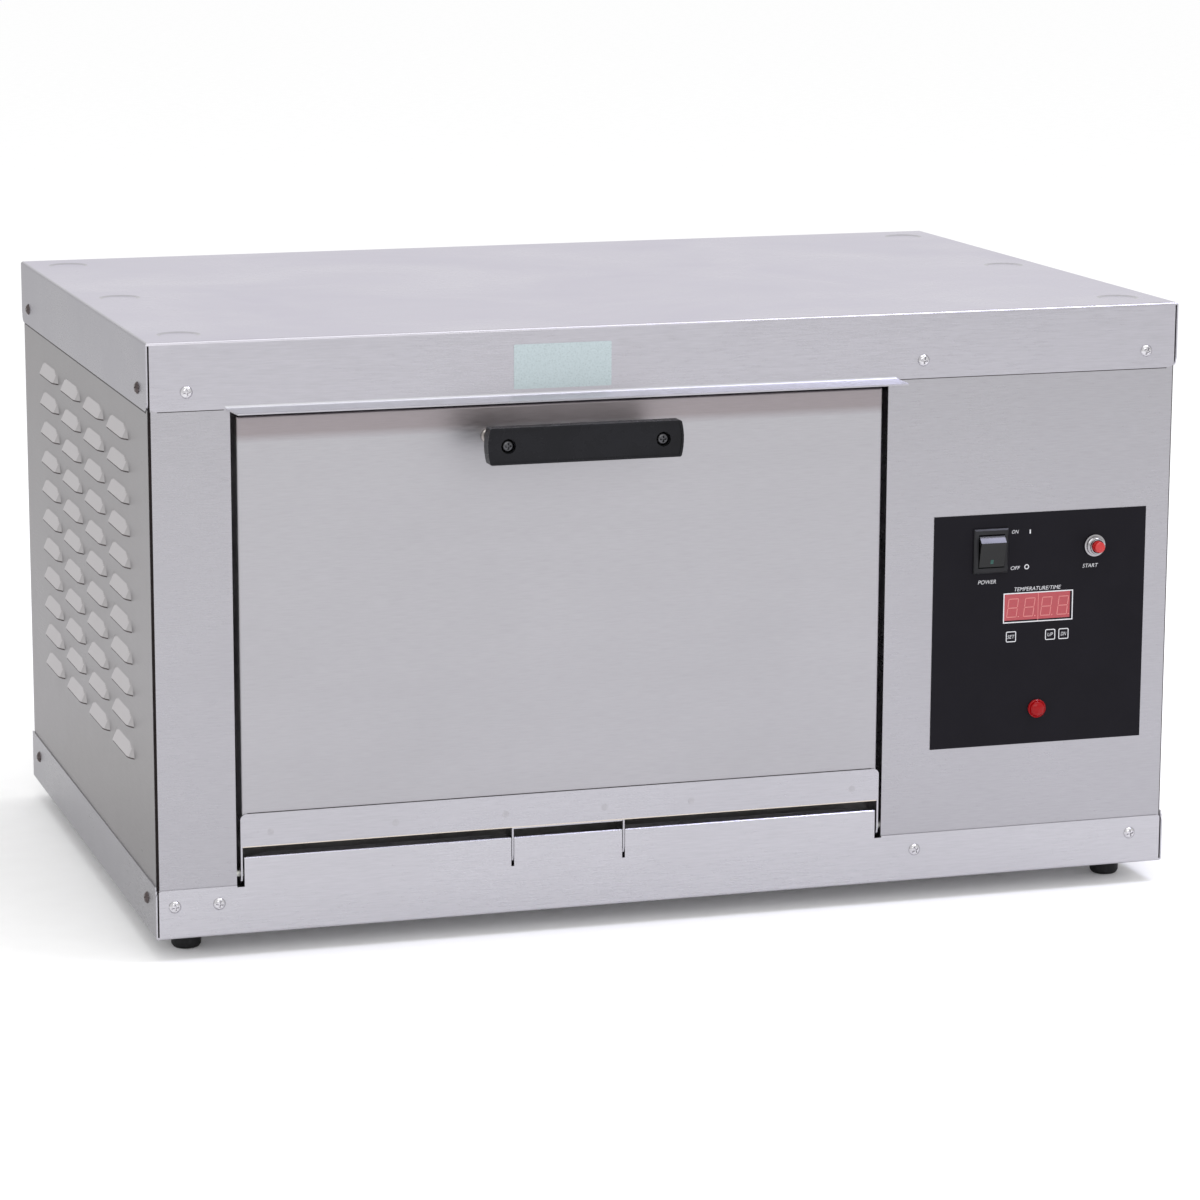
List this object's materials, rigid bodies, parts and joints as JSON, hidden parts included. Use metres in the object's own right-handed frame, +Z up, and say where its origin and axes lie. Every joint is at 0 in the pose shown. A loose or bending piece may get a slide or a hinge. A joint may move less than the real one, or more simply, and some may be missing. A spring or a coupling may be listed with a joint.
{
  "type": "pizza oven",
  "caption": "Countertop electric pizza oven with a drop-down insulated door, louvred sides, wire racks and a side control panel.",
  "frame": {"origin": "on the counter, under the centre of the oven's footprint with its handle and cord gland", "axes": "+X to the control side, +Y to the back, +Z up; the door faces -Y"},
  "size_m": [0.7226, 0.533, 0.4092],
  "materials": {
    "stainless": "brushed",
    "liner_steel": "satin",
    "plated_steel": "satin",
    "chrome": "polished",
    "rack_wire": "polished",
    "element_tube": "matte",
    "rubber": "matte",
    "black_plastic": "satin",
    "grey_plastic": "satin",
    "overlay_film": "satin",
    "red_plastic": "gloss",
    "red_filter": "gloss",
    "board": "satin",
    "mineral_wool": "matte"
  },
  "bodies": {
    "oven": {"top_cover": "stainless", "base_pan": "stainless", "left_side_panel": "stainless", "right_side_panel": "stainless", "front_panel": "stainless", "back_panel": "stainless", "feet": "rubber", "foot_screws": "plated_steel", "lid_screws": "chrome", "base_screws": "chrome", "cord_gland": "black_plastic", "gland_lock_nut": "black_plastic", "oven_liner": "liner_steel", "cavity_blanket": "mineral_wool", "cavity_stands": "plated_steel", "rack_rails": "liner_steel", "lower_rack": "rack_wire", "upper_rack": "rack_wire", "lower_element": "element_tube", "upper_element": "element_tube", "element_bushings": "plated_steel", "element_hangers": "liner_steel", "temperature_probe": "plated_steel", "control_partition": "plated_steel", "control_overlay": "overlay_film", "rocker_bezel": "black_plastic", "button_collar": "chrome", "button_nut": "plated_steel", "display_window": "red_filter", "display_module": "grey_plastic", "key_switches": "black_plastic", "pilot_lamp": "red_plastic", "lamp_nut": "plated_steel", "control_board": "board", "board_standoffs": "plated_steel", "contactor": "grey_plastic", "contactor_rail": "plated_steel", "terminal_block": "black_plastic", "high_limit_switch": "plated_steel", "hinge_rod": "plated_steel", "rod_end_caps": "plated_steel", "rod_stands": "plated_steel"},
    "door": {"door_skin": "stainless", "door_inner_pan": "liner_steel", "door_insulation": "mineral_wool", "hinge_strip": "stainless", "centre_hinge_bracket": "stainless", "handle_bar": "black_plastic", "handle_posts": "chrome", "handle_collars": "black_plastic", "handle_screws": "chrome", "door_edge_screws": "chrome"},
    "rocker": {"power_rocker": "black_plastic"},
    "button": {"start_button": "red_plastic"},
    "set_key": {"key_set": "overlay_film"},
    "up_key": {"key_up": "overlay_film"},
    "down_key": {"key_down": "overlay_film"}
  },
  "joints": [
    {"name": "door_hinge", "type": "hinge", "parent": "oven", "child": "door", "pos_m": [0, -0.2125, 0.0549], "axis": [1, 0, 0], "range_deg": [0, 90]},
    {"name": "power_switch", "type": "hinge", "parent": "oven", "child": "rocker", "pos_m": [0.2241, -0.2145, 0.2436], "axis": [1, 0, 0], "range_deg": [-26, 0]},
    {"name": "start_press", "type": "slide", "parent": "oven", "child": "button", "axis": [0, 1, 0], "range_m": [0, 0.002], "stiffness_N_per_m": 400, "springref_m": -0.002},
    {"name": "set_key_press", "type": "slide", "parent": "oven", "child": "set_key", "axis": [0, 1, 0], "range_m": [0, 0.0004], "stiffness_N_per_m": 800, "springref_m": -0.0005},
    {"name": "up_key_press", "type": "slide", "parent": "oven", "child": "up_key", "axis": [0, 1, 0], "range_m": [0, 0.0004], "stiffness_N_per_m": 800, "springref_m": -0.0005},
    {"name": "down_key_press", "type": "slide", "parent": "oven", "child": "down_key", "axis": [0, 1, 0], "range_m": [0, 0.0004], "stiffness_N_per_m": 800, "springref_m": -0.0005}
  ]
}
